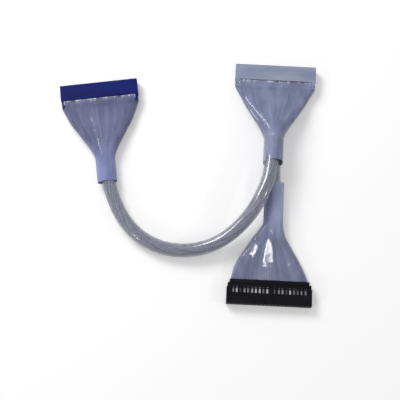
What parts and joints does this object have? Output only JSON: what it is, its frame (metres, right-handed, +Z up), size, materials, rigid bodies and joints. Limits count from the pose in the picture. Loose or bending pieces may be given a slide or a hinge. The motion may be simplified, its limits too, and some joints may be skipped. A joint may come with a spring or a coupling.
{
  "type": "round drive cable",
  "caption": "Round ATA drive cable: fine wires fan out from glossy grey round jackets, inside clear shrink sleeves, to flat blue, grey and black pin sockets.",
  "frame": {"origin": "middle of the sockets and sleeves seen from above, on the surface the cable lies on", "axes": "+Z up from the surface; +X from the blue host socket towards the grey and black drive sockets; +Y from the black socket towards the grey one"},
  "size_m": [0.1816, 0.1735, 0.0213],
  "materials": {
    "host_plastic": "moulded, satin, royal blue",
    "slave_plastic": "moulded, satin, light blue-grey",
    "master_plastic": "moulded, satin, black",
    "contact_metal": "bright tin plate over phosphor bronze",
    "bus_metal": "bright tin plate",
    "sleeve_film": "clear glossy shrink film with a lavender tint",
    "wire_insulation": "smooth blue-grey insulation",
    "jacket_tube": "glossy translucent grey tube"
  },
  "bodies": {
    "root": {"host_housing": "host_plastic", "host_cover": "host_plastic", "host_strain_relief": "slave_plastic", "host_contacts": "contact_metal", "host_ground_bus": "bus_metal", "host_sleeve": "sleeve_film", "slave_housing": "slave_plastic", "slave_cover": "slave_plastic", "slave_strain_relief": "slave_plastic", "slave_contacts": "contact_metal", "slave_ground_bus": "bus_metal", "slave_sleeve": "sleeve_film", "master_housing": "master_plastic", "master_cover": "master_plastic", "master_strain_relief": "master_plastic", "master_contacts": "contact_metal", "master_ground_bus": "bus_metal", "master_sleeve": "sleeve_film", "host_fan": "wire_insulation", "slave_main_fan": "wire_insulation", "slave_link_fan": "wire_insulation", "master_fan": "wire_insulation", "main_bundle": "wire_insulation", "link_bundle": "wire_insulation", "main_jacket": "jacket_tube", "link_jacket": "jacket_tube"}
  },
  "joints": []
}
